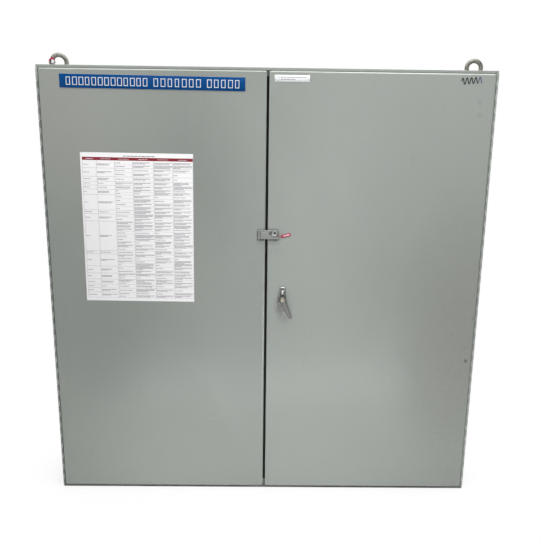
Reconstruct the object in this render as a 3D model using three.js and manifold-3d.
// Industrial switchboard cabinet: a two-door, free-standing sheet-steel enclosure with
// continuous hinges on both outer edges, a padlock hasp across the door gap, a lever
// handle working two latch rods, and a back panel carrying the switchgear.
// Millimetres. +X to the cabinet's right, +Y to its back, +Z up.
// Origin: centre of the base footprint of the welded body, on the floor.
import * as THREE from "three";
import { mergeVertices } from "three/addons/utils/BufferGeometryUtils.js";
import Module from "manifold-3d";

const wasm = await Module();
wasm.setup();

// ---------------------------------------------------------------- driving dimensions
const WIDTH = 1828.8; // 72 in
const HEIGHT = 1828.8; // 72 in
const DEPTH = 304.8; // 12 in, welded body without the doors
const SHEET = 2.6; // 12 gauge steel
const CLEAR = 0.05; // between faces that rest on each other
const SEAL_GAP = 0.5; // between a seal and the steel edge facing it
const FLANGE = 30; // body front flange, inward from the side
const LIP_DEPTH = 14; // rolled lip that the door gasket meets

const HALF_W = WIDTH / 2;
const BODY_FRONT = -DEPTH / 2;
const BODY_BACK = DEPTH / 2;
const LIP_FRONT = BODY_FRONT - LIP_DEPTH;
const OPEN_X = HALF_W - FLANGE; // half width of the door opening
const OPEN_BOTTOM = FLANGE;
const OPEN_TOP = HEIGHT - FLANGE;

const DOOR_FACE_Y = -179.4;
const DOOR_DEPTH = 25; // door pan, face to return edge
const DOOR_REAR_Y = DOOR_FACE_Y + DOOR_DEPTH;
const DOOR_INSIDE = DOOR_FACE_Y + SHEET + CLEAR; // where parts rest inside the door face
const DOOR_OUTSIDE = DOOR_FACE_Y - CLEAR; // where parts rest outside the door face
const DOOR_GAP = 10; // between the two doors
const DOOR_TOP = 1816.3;
const DOOR_BOTTOM = 6;
const DOOR_OUTER = 905; // |x| of the door's hinge-side return

const BARREL_R = 4.3;
const BARREL_BORE = 2.35;
const HINGE_X = 909.9;
const HINGE_Y = DOOR_FACE_Y + BARREL_R;
const PIN_R = 2.0;
const KNUCKLES = 17; // long hinge segments, 9 on the body and 8 on the door
const KNUCKLE_GAP = 0.3; // taken off each end of a segment that has a neighbour

const PANEL_HALF = 838.2; // 66 in square back panel
const PANEL_FRONT = 114.9;
const PANEL_BACK = 117.9;
const PANEL_BOTTOM = HEIGHT / 2 - PANEL_HALF;
const PANEL_TOP = HEIGHT / 2 + PANEL_HALF;
const STUD_INSET = 25 + 5; // panel edge to the studs, vertically
const STUD_X = PANEL_HALF - 25;
const STUD_Z = [PANEL_BOTTOM + STUD_INSET, HEIGHT / 2, PANEL_TOP - STUD_INSET];

const EYE_X = 875;
const ROD_Y = -145; // centre plane of latch rods and shoot bolts
const ROD_THICK = 5;
const ROD_FRONT = ROD_Y - ROD_THICK / 2;
const ROD_BACK = ROD_Y + ROD_THICK / 2;
const ROD_W = 12;

const SIDES = [
  [-1, "left"],
  [1, "right"],
];

// ---------------------------------------------------------------- shape helpers
const radians = THREE.MathUtils.degToRad;
const solidOf = (geometry) => {
  const loose = geometry.index ? geometry.toNonIndexed() : geometry;
  const bare = new THREE.BufferGeometry();
  bare.setAttribute("position", loose.getAttribute("position").clone());
  const merged = mergeVertices(bare, 1e-4);
  return new wasm.Manifold(
    new wasm.Mesh({
      numProp: 3,
      vertProperties: merged.attributes.position.array,
      triVerts: new Uint32Array(merged.index.array),
    }),
  );
};
const geometryOf = (solid) => {
  const mesh = solid.getMesh();
  const stride = mesh.numProp;
  const positions = new Float32Array(mesh.numVert * 3);
  for (let i = 0; i < mesh.numVert; i++)
    positions.set(mesh.vertProperties.subarray(i * stride, i * stride + 3), i * 3);
  const geometry = new THREE.BufferGeometry();
  geometry.setAttribute("position", new THREE.BufferAttribute(positions, 3));
  geometry.setIndex(new THREE.BufferAttribute(new Uint32Array(mesh.triVerts), 1));
  return geometry;
};
const join = (...solids) => solids.reduce((sum, solid) => sum.add(solid));
const cut = (solid, ...tools) => tools.reduce((rest, tool) => rest.subtract(tool), solid);

const block = (x0, x1, y0, y1, z0, z1) =>
  solidOf(
    new THREE.BoxGeometry(Math.abs(x1 - x0), Math.abs(y1 - y0), Math.abs(z1 - z0)).translate(
      (x0 + x1) / 2,
      (y0 + y1) / 2,
      (z0 + z1) / 2,
    ),
  );
// block centred on (x, z), from y0 to y1
const slab = (x, z, width, height, y0, y1) =>
  block(x - width / 2, x + width / 2, y0, y1, z - height / 2, z + height / 2);
// round bar along an axis, from start to end, centred at (u, v) on the other two axes
const rod = (axis, radius, start, end, u, v, sides = 12) => {
  const geometry = new THREE.CylinderGeometry(radius, radius, end - start, sides, 1);
  const middle = (start + end) / 2;
  if (axis === "z") geometry.rotateX(Math.PI / 2).translate(u, v, middle);
  else if (axis === "y") geometry.translate(u, middle, v);
  else geometry.rotateZ(Math.PI / 2).translate(middle, u, v);
  return solidOf(geometry);
};
// axes: where the outline's two axes and the thickness point
const extrude = (points, depth, axes) => {
  const shape = new THREE.Shape(points.map(([u, v]) => new THREE.Vector2(u, v)));
  const basis = axes.map((axis) => new THREE.Vector3(...axis));
  return new THREE.ExtrudeGeometry(shape, { depth, bevelEnabled: false }).applyMatrix4(
    new THREE.Matrix4().makeBasis(...basis),
  );
};
// outline in (x, z), thickness along y
const plateXZ = (points, y0, y1) => {
  const axes = [[1, 0, 0], [0, 0, 1], [0, -1, 0]];
  return solidOf(extrude(points, y1 - y0, axes).translate(0, y1, 0));
};
// outline in (y, z), length along x
const barYZ = (points, x0, x1) => {
  const axes = [[0, 1, 0], [0, 0, 1], [1, 0, 0]];
  return solidOf(extrude(points, x1 - x0, axes).translate(x0, 0, 0));
};
const roundedRect = (x, z, width, height, radius, steps) => {
  const points = [];
  for (const [signX, signZ, startAngle] of [
    [1, 1, 0],
    [-1, 1, 90],
    [-1, -1, 180],
    [1, -1, 270],
  ])
    for (let i = 0; i <= steps; i++) {
      const angle = radians(startAngle + (90 * i) / steps);
      points.push([
        x + signX * (width / 2 - radius) + radius * Math.cos(angle),
        z + signZ * (height / 2 - radius) + radius * Math.sin(angle),
      ]);
    }
  return points;
};
// solid made at the origin, turned about y and then moved into place
const tilted = (solid, degrees, x, y, z) =>
  solidOf(geometryOf(solid).rotateY(radians(degrees)).translate(x, y, z));

// ---------------------------------------------------------------- groups and finishes
const cabinet = new THREE.Group();
const originOf = (group) => group.userData.origin || [0, 0, 0];
// group whose pivot is given in cabinet coordinates
const pivotGroup = (parent, x, y, z) => {
  const group = new THREE.Group();
  const origin = originOf(parent);
  group.position.set(x - origin[0], y - origin[1], z - origin[2]);
  group.userData.origin = [x, y, z];
  parent.add(group);
  return group;
};
const finish = {
  greyEnamel: { color: 0x969a96, roughness: 0.42, metalness: 0.1 },
  whiteEnamel: { color: 0xdfe0dc, roughness: 0.5, metalness: 0.05 },
  zinc: { color: 0xa9abac, roughness: 0.38, metalness: 0.9 },
  dullSteel: { color: 0x77776f, roughness: 0.55, metalness: 0.85 },
  chrome: { color: 0xd8d8d8, roughness: 0.12, metalness: 1.0 },
  brass: { color: 0xb59a55, roughness: 0.3, metalness: 1.0 },
  rubber: { color: 0x1b1c1b, roughness: 0.85, metalness: 0 },
  blackPlastic: { color: 0x242526, roughness: 0.5, metalness: 0 },
  greyPlastic: { color: 0xb9bcbb, roughness: 0.55, metalness: 0 },
  bluePlate: { color: 0x144f8f, roughness: 0.3, metalness: 0 },
  paper: { color: 0xe4e2e4, roughness: 0.35, metalness: 0 },
  redPlastic: { color: 0xb02848, roughness: 0.4, metalness: 0 },
  coreSteel: { color: 0x3e4247, roughness: 0.6, metalness: 0.6 },
};
// solids are built in cabinet coordinates and shifted into their group's frame
const add = (group, name, solid, look) => {
  const [x, y, z] = originOf(group);
  const geometry = geometryOf(solid).translate(-x, -y, -z);
  const mesh = new THREE.Mesh(geometry, new THREE.MeshStandardMaterial({ ...finish[look] }));
  mesh.name = name;
  group.add(mesh);
};

// ---------------------------------------------------------------- welded body
const OVERLAP = 0.5; // how far a welded-on part runs into the sheet
const DOUBLER_THICK = 5; // under the top sheet
const DOUBLER_X = 838; // inner edge
const WING_FRONT = -170.4; // side sheet carried forward to the hinge
const NOTCH_HALF = 23;

function shell() {
  const outer = block(-HALF_W, HALF_W, BODY_FRONT, BODY_BACK, 0, HEIGHT);
  const inside = block(
    -HALF_W + SHEET, HALF_W - SHEET,
    BODY_FRONT + SHEET, BODY_BACK - SHEET,
    SHEET, HEIGHT - SHEET,
  );
  const opening = (y0, y1) => block(-OPEN_X, OPEN_X, y0, y1, OPEN_BOTTOM, OPEN_TOP);
  const lip = cut(
    block(
      -OPEN_X - SHEET, OPEN_X + SHEET,
      LIP_FRONT, BODY_FRONT + 1,
      OPEN_BOTTOM - SHEET, OPEN_TOP + SHEET,
    ),
    opening(LIP_FRONT - 5, BODY_FRONT + 8),
  );
  return join(cut(outer, inside, opening(BODY_FRONT - 8, BODY_FRONT + 8)), lip);
}
function cabinetBody() {
  let body = shell();
  // the lip is notched at mid-width, where the doors' meeting edges reach back
  for (const z of [OPEN_BOTTOM - SHEET / 2, OPEN_TOP + SHEET / 2])
    body = cut(body, slab(0, z, 2 * NOTCH_HALF, 2 * SHEET, LIP_FRONT - 2, BODY_FRONT));
  const top = HEIGHT - SHEET;
  for (const [side] of SIDES) {
    const sheetX = side * (HALF_W - SHEET);
    const doublerX = side * (HALF_W - SHEET + OVERLAP);
    body = join(
      body,
      block(sheetX, side * HALF_W, WING_FRONT, BODY_FRONT + 1, 0, HEIGHT - 11.5),
      // doubler under each lifting eye
      block(side * DOUBLER_X, doublerX, -40, 40, top - DOUBLER_THICK, top + OVERLAP),
    );
    body = cut(body, rod("z", 9.8, HEIGHT - 20, HEIGHT + 5, side * EYE_X, 0));
    // collar studs that carry the back panel
    for (const z of STUD_Z)
      body = join(
        body,
        rod("y", 8, PANEL_BACK + CLEAR, BODY_BACK - SHEET + OVERLAP, side * STUD_X, z, 8),
        rod("y", 4, PANEL_FRONT - 14, PANEL_BACK + 1, side * STUD_X, z, 8),
      );
  }
  return body;
}
// folded drip shield across the top front edge, over the doors and the side wings
function dripShield() {
  const front = -172.4;
  const back = BODY_FRONT - CLEAR;
  const bottom = HEIGHT - 11;
  const profile = [
    [back, bottom],
    [back - SHEET, bottom],
    [back - SHEET, HEIGHT - SHEET],
    [front + SHEET, HEIGHT - SHEET],
    [front + SHEET, bottom],
    [front, bottom],
    [front, HEIGHT],
    [back, HEIGHT],
  ]; // y, z
  return barYZ(profile, -HALF_W, HALF_W);
}
add(cabinet, "cabinet_body", cabinetBody(), "greyEnamel");
add(cabinet, "drip_shield", dripShield(), "greyEnamel");

// ---------------------------------------------------------------- centre post and seal
const POST_HALF = 36;
const POST_FRONT = BODY_FRONT + SHEET + CLEAR;
const POST_Z = [12, HEIGHT - 12];
const POST_LIP_X = 24;
const POST_LIP_Z = [OPEN_BOTTOM + 0.6, OPEN_TOP - 0.6];

function centerPost() {
  let post = block(-POST_HALF, POST_HALF, POST_FRONT, POST_FRONT + SHEET, ...POST_Z);
  for (const [side] of SIDES) {
    const flangeX = [side * (POST_HALF - SHEET), side * POST_HALF];
    const lipX = [side * POST_LIP_X, side * (POST_LIP_X + SHEET)];
    post = join(
      post,
      block(...flangeX, POST_FRONT, POST_FRONT + 27, ...POST_Z),
      block(...lipX, LIP_FRONT, POST_FRONT + 1, ...POST_LIP_Z),
    );
  }
  return post;
}
add(cabinet, "center_post", centerPost(), "greyEnamel");
add(
  cabinet,
  "center_post_seal",
  block(-20, 20, DOOR_REAR_Y + SEAL_GAP, POST_FRONT - CLEAR, ...POST_LIP_Z),
  "rubber",
);

// ---------------------------------------------------------------- continuous hinges
const knucklePitch = (DOOR_TOP - DOOR_BOTTOM) / KNUCKLES;
const knuckleSpan = (i) => [
  DOOR_BOTTOM + i * knucklePitch + (i > 0 ? KNUCKLE_GAP : 0),
  DOOR_BOTTOM + (i + 1) * knucklePitch - (i < KNUCKLES - 1 ? KNUCKLE_GAP : 0),
];
const barrel = (side, z0, z1) =>
  cut(
    rod("z", BARREL_R, z0, z1, side * HINGE_X, HINGE_Y, 8),
    rod("z", BARREL_BORE, z0 - 1, z1 + 1, side * HINGE_X, HINGE_Y, 8),
  );
// x ranges are measured from the hinge axis towards the cabinet's middle,
// y values from the hinge axis backwards
const BODY_LEAF = {
  firstKnuckle: 0,
  sheetX: [-1.85, -0.4],
  sheetBack: 20,
  sheetZ: [DOOR_BOTTOM, DOOR_TOP - 0.6],
  tongueX: [-1.85, -0.4],
  tongueFront: 3,
};
const DOOR_LEAF = {
  firstKnuckle: 1,
  sheetX: [2.5, 4.75],
  sheetBack: 18,
  sheetZ: [DOOR_BOTTOM + 2, DOOR_TOP - 2],
  tongueX: [2.6, 4.1],
  tongueFront: 1,
};
// flat sheet with a tongue and a barrel at every second knuckle
function hingeLeaf(side, spec) {
  const inward = (offsets) => offsets.map((offset) => side * (HINGE_X - offset));
  let leaf = block(
    ...inward(spec.sheetX),
    HINGE_Y + 4.6, HINGE_Y + spec.sheetBack,
    ...spec.sheetZ,
  );
  for (let i = spec.firstKnuckle; i < KNUCKLES; i += 2) {
    const [z0, z1] = knuckleSpan(i);
    const tongueTop = Math.min(z1, spec.sheetZ[1]);
    const tongueY = [HINGE_Y + spec.tongueFront, HINGE_Y + 5];
    leaf = join(
      leaf,
      block(...inward(spec.tongueX), ...tongueY, z0, tongueTop),
      barrel(side, z0, z1),
    );
  }
  return leaf;
}
for (const [side, sideName] of SIDES) {
  const pin = rod("z", PIN_R, DOOR_BOTTOM - 2, DOOR_TOP + 1.5, side * HINGE_X, HINGE_Y, 8);
  add(cabinet, sideName + "_body_hinge_leaf", hingeLeaf(side, BODY_LEAF), "zinc");
  add(cabinet, sideName + "_hinge_pin", pin, "zinc");
}

// ---------------------------------------------------------------- lifting eyes
const EYE_RING_R = 29.5;
const EYE_WIRE_R = 9.4;
const EYE_CENTRE = 36.4; // ring centre above the top face

function liftingEye(x) {
  const ring = solidOf(
    new THREE.TorusGeometry(EYE_RING_R, EYE_WIRE_R, 8, 24)
      .rotateX(Math.PI / 2)
      .translate(x, 0, HEIGHT + EYE_CENTRE),
  );
  const belowTop = block(x - 60, x + 60, -30, 30, HEIGHT - 30, HEIGHT + CLEAR);
  const collar = rod("z", 17, HEIGHT + CLEAR, HEIGHT + 6, x, 0, 16);
  const shank = rod("z", 9, HEIGHT - 34, HEIGHT + 4, x, 0);
  return join(cut(ring, belowTop), collar, shank);
}
function eyeNut(x) {
  const top = HEIGHT - SHEET - DOUBLER_THICK - CLEAR;
  return cut(rod("z", 15, HEIGHT - 26, top, x, 0, 6), rod("z", 9.7, HEIGHT - 40, HEIGHT, x, 0));
}
// plastic tie looped round the ring of the left eye
function eyeTie() {
  const profile = [
    [10.2, -2.2],
    [11.2, -2.2],
    [11.2, 2.2],
    [10.2, 2.2],
    [10.2, -2.2],
  ]; // radius, height
  const band = new THREE.LatheGeometry(profile.map(([u, v]) => new THREE.Vector2(u, v)), 16);
  band.rotateX(Math.PI / 2).rotateY(0.25);
  return solidOf(band.translate(-EYE_X - 28.2, 0, HEIGHT + 43));
}
for (const [side, sideName] of SIDES) {
  add(cabinet, sideName + "_lifting_eye", liftingEye(side * EYE_X), "dullSteel");
  add(cabinet, sideName + "_eye_nut", eyeNut(side * EYE_X), "zinc");
}
add(cabinet, "left_eye_tie", eyeTie(), "redPlastic");

// ---------------------------------------------------------------- back panel
function mountingPanel() {
  let panel = block(-PANEL_HALF, PANEL_HALF, PANEL_FRONT, PANEL_BACK, PANEL_BOTTOM, PANEL_TOP);
  for (const [side] of SIDES)
    for (const z of STUD_Z)
      panel = cut(panel, rod("y", 5, PANEL_FRONT - 5, PANEL_BACK + 5, side * STUD_X, z, 8));
  return panel;
}
add(cabinet, "mounting_panel", mountingPanel(), "whiteEnamel");

// ---------------------------------------------------------------- rail and wire ducts
const MOUNT_Y = PANEL_FRONT - CLEAR; // face that the components stand on
const RAIL_Z = 1197.5; // centre height of the rail and everything on it
const RAIL_X = [-640, 640];
const RAIL_HALF = 17.5; // 35 mm top-hat rail
const RAIL_WEB_HALF = 12.5;
const RAIL_DEPTH = 7.5;
const RAIL_THICK = 1.2;
const ON_RAIL_Y = MOUNT_Y - RAIL_DEPTH - 0.1; // back of the components on the rail
const DUCT_WALL = 2;

function dinRail() {
  const front = MOUNT_Y - RAIL_DEPTH;
  const wall = RAIL_WEB_HALF - RAIL_THICK;
  const strip = (y0, y1, z0, z1) => block(...RAIL_X, y0, y1, RAIL_Z + z0, RAIL_Z + z1);
  return join(
    strip(MOUNT_Y - RAIL_THICK, MOUNT_Y, -RAIL_WEB_HALF, RAIL_WEB_HALF),
    strip(front, MOUNT_Y, wall, RAIL_WEB_HALF),
    strip(front, MOUNT_Y, -RAIL_WEB_HALF, -wall),
    strip(front, front + RAIL_THICK, wall, RAIL_HALF),
    strip(front, front + RAIL_THICK, -RAIL_HALF, -wall),
  );
}
// open-ended rectangular tube
const duct = (z) =>
  cut(
    slab(0, z, 1400, 50, MOUNT_Y - 62, MOUNT_Y),
    // leaves the back wall, and opens the front
    slab(0, z, 1402, 50 - 2 * DUCT_WALL, MOUNT_Y - 63, MOUNT_Y - DUCT_WALL),
  );
add(cabinet, "din_rail", dinRail(), "zinc");
add(cabinet, "wire_duct_top", duct(1315), "greyPlastic");
add(cabinet, "wire_duct_bottom", duct(1065), "greyPlastic");

// ---------------------------------------------------------------- breakers
// moulded-case main breaker with its throw handle
const MAIN = { x: -560, z: 1510, width: 210, height: 300, depth: 96, pivotDepth: 36, tilt: -20 };
const BRANCH = { width: 54, height: 90, depth: 70, pivotDepth: 12, tilt: -24 };
const BRANCH_X = [-500, -420, -340];

function mainBreaker() {
  const { x, z, width, height, depth, pivotDepth, tilt } = MAIN;
  const front = MOUNT_Y - depth;
  const housing = cut(
    join(
      slab(x, z, width, height, front, MOUNT_Y),
      slab(x, z, 140, 160, front - 8, front + 1),
    ),
    slab(x, z, 44, 68, front - 12, front + 52),
  );
  add(cabinet, "main_breaker", housing, "blackPlastic");
  const y = front + pivotDepth;
  const pivot = pivotGroup(cabinet, x, y, z);
  pivot.rotation.x = radians(tilt); // thrown up: on
  const lever = join(
    slab(x, z, 24, 12, y - 62, y),
    slab(x, z, 36, 16, y - 74, y - 54),
    rod("x", 9, x - 19, x + 19, y, z),
  );
  add(pivot, "main_breaker_handle", lever, "blackPlastic");
}
function branchBreaker(x, number) {
  const { width, height, depth, pivotDepth, tilt } = BRANCH;
  const front = ON_RAIL_Y - depth;
  const housing = cut(
    join(
      slab(x, RAIL_Z, width, height, front + 10, ON_RAIL_Y),
      slab(x, RAIL_Z, width, 44, front, front + 11),
    ),
    slab(x, RAIL_Z, 40, 24, front - 1, front + 22),
  );
  add(cabinet, "branch_breaker_" + number, housing, "greyPlastic");
  const y = front + pivotDepth;
  const pivot = pivotGroup(cabinet, x, y, RAIL_Z);
  pivot.rotation.x = radians(tilt); // thrown up: on
  const toggle = join(
    slab(x, RAIL_Z, 34, 5, y - 22, y),
    rod("x", 4.5, x - 17, x + 17, y, RAIL_Z, 10),
  );
  add(pivot, "branch_toggle_" + number, toggle, "blackPlastic");
}
mainBreaker();
BRANCH_X.forEach((x, i) => branchBreaker(x, i + 1));

// ---------------------------------------------------------------- other switchgear
const contactor = (x) =>
  join(
    slab(x, RAIL_Z, 64, 95, ON_RAIL_Y - 62, ON_RAIL_Y),
    slab(x, RAIL_Z, 48, 59, ON_RAIL_Y - 92, ON_RAIL_Y - 61),
  );
const controllerModule = (x) =>
  join(
    slab(x, RAIL_Z, 380, 115, ON_RAIL_Y - 66, ON_RAIL_Y),
    slab(x, RAIL_Z, 380, 75, ON_RAIL_Y - 78, ON_RAIL_Y - 65),
  );
// feet, laminated core and coil
const controlTransformer = (x, z) =>
  join(
    slab(x, z, 140, 190, MOUNT_Y - 5, MOUNT_Y),
    slab(x, z, 110, 90, MOUNT_Y - 66, MOUNT_Y - 4),
    slab(x, z, 76, 134, MOUNT_Y - 92, MOUNT_Y - 5),
  );
const terminalStrip = (x, z) =>
  join(
    slab(x, z, 920, 60, MOUNT_Y - 12, MOUNT_Y),
    slab(x, z, 900, 36, MOUNT_Y - 48, MOUNT_Y - 11),
  );
// bar on two standoffs
const groundBar = (x, z) =>
  join(
    slab(x, z, 400, 25, MOUNT_Y - 26, MOUNT_Y - 18),
    slab(x - 172.5, z, 15, 17, MOUNT_Y - 19, MOUNT_Y),
    slab(x + 172.5, z, 15, 17, MOUNT_Y - 19, MOUNT_Y),
  );
add(cabinet, "contactor_1", contactor(-220), "blackPlastic");
add(cabinet, "contactor_2", contactor(-130), "blackPlastic");
add(cabinet, "controller_module", controllerModule(370), "greyPlastic");
add(cabinet, "control_transformer", controlTransformer(500, 735), "coreSteel");
add(cabinet, "terminal_strip", terminalStrip(-160, 730), "greyPlastic");
add(cabinet, "ground_bar", groundBar(-420, 312.5), "brass");

// ---------------------------------------------------------------- parts of both doors
const GASKET_W = 15.8;
const GASKET_X = [17.5, 893.3]; // |x|, inner and outer edge
const GASKET_Z = [20.8, 1808];
const STIFFENER_X = 455;
const STIFFENER_BACK = -156;
const STIFFENER_Z = [150, 1680];

const leftDoor = pivotGroup(cabinet, -HINGE_X, HINGE_Y, 0);
const rightDoor = pivotGroup(cabinet, HINGE_X, HINGE_Y, 0);

function doorPan(side) {
  const meeting = DOOR_GAP / 2;
  return join(
    cut(
      block(
        side * meeting, side * DOOR_OUTER,
        DOOR_FACE_Y, DOOR_REAR_Y,
        DOOR_BOTTOM, DOOR_TOP,
      ),
      block(
        side * (meeting + SHEET), side * (DOOR_OUTER - SHEET),
        DOOR_FACE_Y + SHEET, DOOR_REAR_Y + 1,
        DOOR_BOTTOM + SHEET, DOOR_TOP - SHEET,
      ),
    ),
    // stiffening lip folded in behind the meeting edge
    block(
      side * (meeting + 1), side * 17,
      DOOR_REAR_Y - SHEET, DOOR_REAR_Y,
      DOOR_BOTTOM + 1, DOOR_TOP - 1,
    ),
  );
}
function gasket(side) {
  const back = LIP_FRONT - SEAL_GAP;
  const frame = (inset, y0, y1) =>
    block(
      side * (GASKET_X[0] + inset), side * (GASKET_X[1] - inset),
      y0, y1,
      GASKET_Z[0] + inset, GASKET_Z[1] - inset,
    );
  return cut(frame(0, DOOR_INSIDE, back), frame(GASKET_W, DOOR_INSIDE - 1, back + 1));
}
// channel standing on the inside of the door face
const stiffener = (x) =>
  join(
    block(x - 25, x + 25, STIFFENER_BACK - SHEET, STIFFENER_BACK, ...STIFFENER_Z),
    block(x - 25, x - 25 + SHEET, DOOR_INSIDE, STIFFENER_BACK, ...STIFFENER_Z),
    block(x + 25 - SHEET, x + 25, DOOR_INSIDE, STIFFENER_BACK, ...STIFFENER_Z),
  );
// slotted bracket that guides a flat rod centred on x, standing on the inside of a door
const guide = (x, z) =>
  cut(
    slab(x, z, 22, 16, DOOR_INSIDE, -136.5),
    slab(x, z, ROD_W + 1.4, 18, ROD_FRONT - 0.7, ROD_BACK + 0.7),
    slab(x, z, 15, 18, -173.5, -153),
  );
function addDoorBasics(door, side, sideName, pan) {
  add(door, sideName + "_door_panel", pan, "greyEnamel");
  add(door, sideName + "_door_gasket", gasket(side), "rubber");
  add(door, sideName + "_door_hinge_leaf", hingeLeaf(side, DOOR_LEAF), "zinc");
  add(door, sideName + "_door_stiffener", stiffener(side * STIFFENER_X), "greyEnamel");
}

// ---------------------------------------------------------------- left door
const BOLT_X = -60;
const POCKET_WALL = 3;

// the nameplate and the chart sit a fraction of a degree off level
function nameplate() {
  const plate = plateXZ(roundedRect(0, 0, 733, 54, 2, 2), DOOR_OUTSIDE - 1.6, DOOR_OUTSIDE);
  return tilted(plate, 0.4, -455.5, 0, 1765.1);
}
function ratingChart() {
  const sheet = slab(0, 0, 456, 616.4, DOOR_OUTSIDE - 0.7, DOOR_OUTSIDE);
  return tilted(sheet, 0.35, -530.3, 0, 1184.3);
}
// open-topped pocket for drawings
function documentPocket() {
  const [x0, x1, back, z0, z1] = [-800, -520, -140, 700, 960];
  const hollow = block(
    x0 + POCKET_WALL, x1 - POCKET_WALL,
    DOOR_INSIDE + POCKET_WALL, back - POCKET_WALL,
    z0 + POCKET_WALL, z1 + 1,
  );
  return cut(block(x0, x1, DOOR_INSIDE, back, z0, z1), hollow);
}
addDoorBasics(leftDoor, -1, "left", doorPan(-1));
add(leftDoor, "nameplate", nameplate(), "bluePlate");
add(leftDoor, "rating_chart", ratingChart(), "paper");
add(leftDoor, "document_pocket", documentPocket(), "greyPlastic");
add(leftDoor, "top_bolt_guide", guide(BOLT_X, 1700), "zinc");
add(leftDoor, "bottom_bolt_guide", guide(BOLT_X, 120), "zinc");

// hasp on the left door, with its staple plate on the right door
const HASP_Z = 1167;
const HASP_HALF = 19; // half height
const HASP_X = -30.5; // hinge axis of the strap
const HASP_Y = -183.8;
const HASP_BARREL_R = 4.3;
const STRAP_HALF_THICK = 1.25;
const STRAP_END_X = -1;
const LUG_HALF = 12; // half height of the padlock lugs
const LUG_FRONT = -200;
const padlockHole = (x0, x1) => rod("x", 5, x0, x1, HASP_Y - 8, HASP_Z);

// leaf, two outer knuckles and the fixed pin through them
function haspBase() {
  const front = DOOR_OUTSIDE - 2;
  let base = plateXZ(roundedRect(-16.5, HASP_Z, 17, 35, 2, 2), front, DOOR_OUTSIDE);
  for (const [z0, z1] of [
    [HASP_Z - HASP_HALF, HASP_Z - 9],
    [HASP_Z + 9, HASP_Z + HASP_HALF],
  ])
    base = join(
      base,
      rod("z", HASP_BARREL_R, z0, z1, HASP_X, HASP_Y),
      block(HASP_X, -23, front, DOOR_OUTSIDE - 0.3, z0, z1),
    );
  return join(base, rod("z", 1.8, HASP_Z - 16, HASP_Z + 16, HASP_X, HASP_Y));
}
// strap that swings across the door gap, with its padlock lug turned forward
function haspStrap() {
  const [front, back] = [HASP_Y - STRAP_HALF_THICK, HASP_Y + STRAP_HALF_THICK];
  const band = (x0, x1, y0, half) => block(x0, x1, y0, back, HASP_Z - half, HASP_Z + half);
  return cut(
    join(
      rod("z", HASP_BARREL_R, HASP_Z - 8.5, HASP_Z + 8.5, HASP_X, HASP_Y),
      band(HASP_X + 1, HASP_X + 6, front, 8.5),
      band(HASP_X + 5.2, STRAP_END_X, front, HASP_HALF),
      band(STRAP_END_X - SHEET, STRAP_END_X, LUG_FRONT, LUG_HALF),
    ),
    rod("z", 2.15, HASP_Z - 30, HASP_Z + 30, HASP_X, HASP_Y),
    padlockHole(-8, 2),
  );
}
function haspStaple() {
  const front = DOOR_OUTSIDE - SHEET;
  const lugX = 1.2;
  const [z0, z1] = [HASP_Z - LUG_HALF, HASP_Z + LUG_HALF];
  return cut(
    join(
      plateXZ(roundedRect(26.5, HASP_Z, 43, 35, 2, 2), front, DOOR_OUTSIDE),
      block(lugX, 12, front, DOOR_OUTSIDE, z0, z1),
      block(lugX, lugX + SHEET, LUG_FRONT, DOOR_OUTSIDE - 0.1, z0, z1),
    ),
    padlockHole(-2, 8),
  );
}
add(leftDoor, "hasp_base", haspBase(), "greyEnamel");
add(pivotGroup(leftDoor, HASP_X, HASP_Y, HASP_Z), "hasp_strap", haspStrap(), "greyEnamel");

// shoot bolts, drawn back, each with a finger tab at the end nearer mid-height
function shootBolt(name, tabZ, tipZ) {
  const [x0, x1] = [BOLT_X - ROD_W / 2, BOLT_X + ROD_W / 2];
  const tabEnd = tabZ + Math.sign(tipZ - tabZ) * 5;
  const bolt = join(
    block(x0, x1, ROD_FRONT, ROD_BACK, tabZ, tipZ),
    block(x0, x1, ROD_FRONT, ROD_BACK + 22, tabZ, tabEnd),
  );
  add(pivotGroup(leftDoor, BOLT_X, ROD_Y, tabZ), name, bolt, "zinc");
}
shootBolt("left_top_bolt", 1560, 1796);
shootBolt("left_bottom_bolt", 270, 33);

// ---------------------------------------------------------------- right door
const HANDLE_X = 70.6;
const HANDLE_Z = 893;
const HANDLE_ANGLE = 24; // lever off vertical, degrees, tip down and towards the right
const LEVER_LENGTH = 95; // hub centre to tip
const LEVER_HUB_R = 12;
const LEVER_TIP_R = 8.5;
const LEVER_FRONT = DOOR_OUTSIDE - 33;
const SPINDLE_BORE_R = 7.7;
const CAM_R = 24; // cam pin circle
const LATCH_ROD_X = 21; // rod centres either side of the spindle
const handleRod = (radius, y0, y1, sides = 16) =>
  rod("y", radius, y0, y1, HANDLE_X, HANDLE_Z, sides);

const sealTag = () =>
  tilted(plateXZ(roundedRect(0, 0, 41, 12, 5, 3), -1.5, 0), -14, 81, DOOR_OUTSIDE - 0.25, 1163.5);
const escutcheon = () =>
  cut(
    plateXZ(roundedRect(HANDLE_X, 905, 29, 77, 9, 4), DOOR_OUTSIDE - 10.5, DOOR_OUTSIDE),
    handleRod(SPINDLE_BORE_R, DOOR_OUTSIDE - 20, DOOR_OUTSIDE + 5),
  );
const latchBearing = () =>
  cut(
    handleRod(14, DOOR_INSIDE, -155.7),
    handleRod(SPINDLE_BORE_R, DOOR_INSIDE - 5, -150),
  );
const rightPan = cut(doorPan(1), handleRod(8.8, DOOR_FACE_Y - 5, DOOR_FACE_Y + 8));
const doorLabel = slab(95.1, 1787.8, 139, 26, DOOR_OUTSIDE - 0.7, DOOR_OUTSIDE);
addDoorBasics(rightDoor, 1, "right", rightPan);
add(rightDoor, "door_label", doorLabel, "paper");
add(rightDoor, "seal_tag", sealTag(), "redPlastic");
add(rightDoor, "hasp_staple", haspStaple(), "greyEnamel");
add(rightDoor, "handle_escutcheon", escutcheon(), "chrome");
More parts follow.
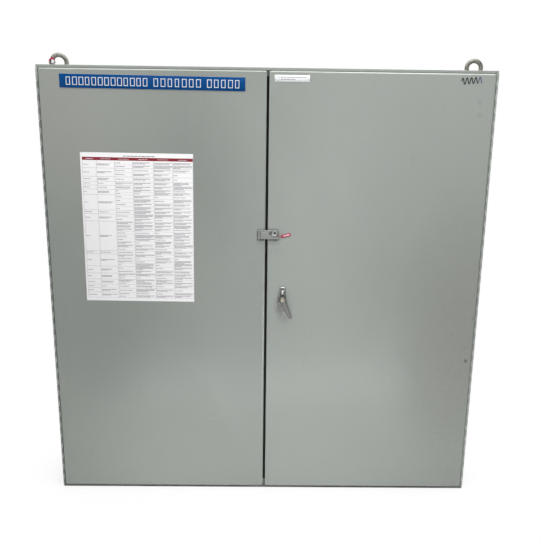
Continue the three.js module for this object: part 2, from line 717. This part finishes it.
add(rightDoor, "latch_bearing", latchBearing(), "zinc");
add(rightDoor, "upper_rod_guide", guide(HANDLE_X - LATCH_ROD_X, 1600), "zinc");
add(rightDoor, "lower_rod_guide", guide(HANDLE_X + LATCH_ROD_X, 220), "zinc");

// outline in (x, z): a half circle round the hub, then one round the tip
function leverOutline() {
  const tilt = radians(HANDLE_ANGLE);
  const at = (along, across) => [
    HANDLE_X + Math.sin(tilt) * along + Math.cos(tilt) * across,
    HANDLE_Z - Math.cos(tilt) * along + Math.sin(tilt) * across,
  ];
  const halfCircle = (centre, radius, startAngle, steps) =>
    Array.from({ length: steps + 1 }, (_, i) => {
      const angle = startAngle + (Math.PI * i) / steps;
      return at(centre + radius * Math.cos(angle), radius * Math.sin(angle));
    });
  return [
    ...halfCircle(0, LEVER_HUB_R, Math.PI / 2, 10),
    ...halfCircle(LEVER_LENGTH - LEVER_TIP_R, LEVER_TIP_R, -Math.PI / 2, 8),
  ];
}
function handleLever() {
  const arm = plateXZ(leverOutline(), LEVER_FRONT, LEVER_FRONT + 9);
  const hub = handleRod(LEVER_HUB_R, LEVER_FRONT + 8, DOOR_OUTSIDE - 11);
  const spindle = handleRod(7, DOOR_OUTSIDE - 12, -151.2);
  return cut(join(arm, hub, spindle), handleRod(6.2, LEVER_FRONT - 5, LEVER_FRONT + 8));
}
const lockPlug = () =>
  cut(
    handleRod(5.8, LEVER_FRONT - 1.5, LEVER_FRONT + 7.6),
    slab(HANDLE_X, HANDLE_Z, 1.4, 7.6, LEVER_FRONT - 3, LEVER_FRONT + 1.5),
  );
// disc with two drive pins; the pin angle goes with the lever's rest angle
function latchCam() {
  const angle = radians(180 - (45 - HANDLE_ANGLE));
  const pinX = CAM_R * Math.cos(angle);
  const pinZ = CAM_R * Math.sin(angle);
  return join(
    cut(handleRod(CAM_R + 5.5, -155, -151, 24), handleRod(7.3, -160, -145)),
    rod("y", 3.5, -151.5, -141.5, HANDLE_X + pinX, HANDLE_Z + pinZ),
    rod("y", 3.5, -151.5, -141.5, HANDLE_X - pinX, HANDLE_Z - pinZ),
  );
}
// lever, spindle and cam turn together
const turning = pivotGroup(rightDoor, HANDLE_X, DOOR_OUTSIDE, HANDLE_Z);
add(turning, "handle_lever", handleLever(), "chrome");
add(pivotGroup(turning, HANDLE_X, LEVER_FRONT, HANDLE_Z), "lock_plug", lockPlug(), "brass");
add(turning, "latch_cam", latchCam(), "zinc");

// slotted driving plate on the cam pin, flat bar to the edge of the opening;
// direction is 1 for the upper rod and -1 for the lower one
function latchRod(name, direction, endZ) {
  const slotRise = (CAM_R * Math.SQRT2 * (45 - HANDLE_ANGLE)) / 90; // from cam centre, at rest
  const x = HANDLE_X - direction * LATCH_ROD_X;
  const slotX = HANDLE_X - direction * 20.5;
  const z = HANDLE_Z + direction * slotRise;
  const barX = [x - ROD_W / 2, x + ROD_W / 2];
  const solid = cut(
    join(
      slab(slotX, z, 23.2, 16.9, ROD_FRONT, ROD_BACK),
      block(...barX, ROD_FRONT, ROD_BACK, z + direction * 6, endZ),
    ),
    slab(slotX, z, 15.2, 8.9, ROD_FRONT - 1, ROD_BACK + 1),
  );
  add(pivotGroup(rightDoor, x, ROD_Y, z), name, solid, "zinc");
}
latchRod("upper_latch_rod", 1, OPEN_TOP - 1.2);
latchRod("lower_latch_rod", -1, OPEN_BOTTOM + 1.2);

export default cabinet;
